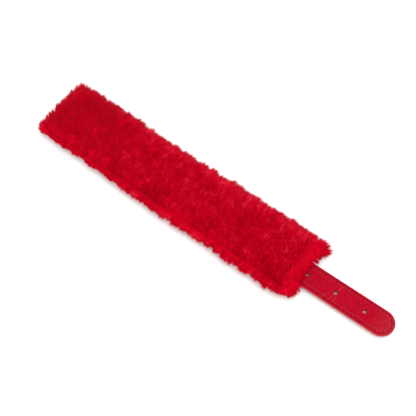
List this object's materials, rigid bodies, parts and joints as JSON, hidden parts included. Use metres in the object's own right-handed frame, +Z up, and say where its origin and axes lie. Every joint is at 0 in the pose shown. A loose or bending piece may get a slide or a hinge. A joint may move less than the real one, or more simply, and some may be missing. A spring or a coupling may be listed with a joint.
{
  "type": "plush-lined padded neck strap",
  "caption": "Long padded strap with a red plush lining, a leatherette outer band, a roller buckle, a keeper, a D-ring and a punched tongue; it wraps round and closes like a belt.",
  "frame": {"origin": "centre of the footprint of the strap lying open and flat, hardware down and plush up, at floor level", "axes": "+X along the strap to the tip of the tongue, +Y across it, +Z up out of the plush"},
  "size_m": [0.3824, 0.064, 0.0211],
  "materials": {
    "plush": "short dense curly pile, matt with soft sheen",
    "leatherette": "smooth fine grain, satin, stitched edge",
    "foam": "thin soft padding sheet",
    "nickel_steel": "nickel plated, polished"
  },
  "bodies": {
    "panel_1": {"outer_band_1": "leatherette", "foam_core_1": "foam", "plush_lining_1": "plush", "strap_face_1": "leatherette", "strap_backing_1": "leatherette", "keeper_loop": "leatherette", "buckle_rivet_posts": "nickel_steel", "buckle_rivet_backs": "nickel_steel"},
    "panel_2": {"outer_band_2": "leatherette", "foam_core_2": "foam", "plush_lining_2": "plush", "strap_face_2": "leatherette", "strap_backing_2": "leatherette"},
    "panel_3": {"outer_band_3": "leatherette", "foam_core_3": "foam", "plush_lining_3": "plush", "strap_face_3": "leatherette", "strap_backing_3": "leatherette", "d_ring_tab": "leatherette", "d_ring_rivet_posts": "nickel_steel", "d_ring_rivet_backs": "nickel_steel"},
    "panel_4": {"outer_band_4": "leatherette", "foam_core_4": "foam", "plush_lining_4": "plush", "strap_face_4": "leatherette", "strap_backing_4": "leatherette"},
    "panel_5": {"outer_band_5": "leatherette", "foam_core_5": "foam", "plush_lining_5": "plush", "strap_face_5": "leatherette", "strap_backing_5": "leatherette", "end_rivet_posts": "nickel_steel", "end_rivet_backs": "nickel_steel"},
    "tongue": {"tongue_face": "leatherette", "tongue_backing": "leatherette"},
    "buckle": {"buckle_frame": "nickel_steel"},
    "prong": {"buckle_prong": "nickel_steel"},
    "roller": {"buckle_roller": "nickel_steel"},
    "ring": {"d_ring": "nickel_steel"}
  },
  "joints": [
    {"name": "wrap_left_inner", "type": "hinge", "parent": "panel_3", "child": "panel_2", "pos_m": [-0.07185, 0, 0.00785], "axis": [0, 1, 0], "range_deg": [0, 60], "deforming": ["plush_lining_2", "plush_lining_3"]},
    {"name": "wrap_left_outer", "type": "hinge", "parent": "panel_2", "child": "panel_1", "pos_m": [-0.12905, 0, 0.00785], "axis": [0, 1, 0], "range_deg": [0, 60], "deforming": ["plush_lining_1"]},
    {"name": "wrap_right_inner", "type": "hinge", "parent": "panel_3", "child": "panel_4", "pos_m": [-0.01465, 0, 0.00785], "axis": [0, -1, 0], "range_deg": [0, 60], "deforming": ["plush_lining_4"]},
    {"name": "wrap_right_outer", "type": "hinge", "parent": "panel_4", "child": "panel_5", "pos_m": [0.04255, 0, 0.00785], "axis": [0, -1, 0], "range_deg": [0, 60], "deforming": ["plush_lining_5"]},
    {"name": "tongue_flex", "type": "hinge", "parent": "panel_5", "child": "tongue", "pos_m": [0.09975, 0, 0.00785], "axis": [0, -1, 0], "range_deg": [-20, 50]},
    {"name": "buckle_swing", "type": "hinge", "parent": "panel_1", "child": "buckle", "pos_m": [-0.16325, 0, 0.00507], "axis": [0, -1, 0], "range_deg": [0, 55]},
    {"name": "prong_swing", "type": "hinge", "parent": "buckle", "child": "prong", "pos_m": [-0.16325, 0, 0.00507], "axis": [0, -1, 0], "range_deg": [0, 55]},
    {"name": "roller_spin", "type": "hinge", "parent": "buckle", "child": "roller", "pos_m": [-0.18225, 0, 0.00507], "axis": [0, 1, 0], "continuous": true},
    {"name": "d_ring_swing", "type": "hinge", "parent": "panel_3", "child": "ring", "pos_m": [-0.04725, 0, 0.00277], "axis": [0, -1, 0], "range_deg": [0, 150]}
  ],
  "couplings": [
    {"joint": "wrap_left_outer", "follows": "wrap_left_inner", "ratio": 1},
    {"joint": "wrap_right_inner", "follows": "wrap_left_inner", "ratio": 1},
    {"joint": "wrap_right_outer", "follows": "wrap_left_inner", "ratio": 1}
  ]
}
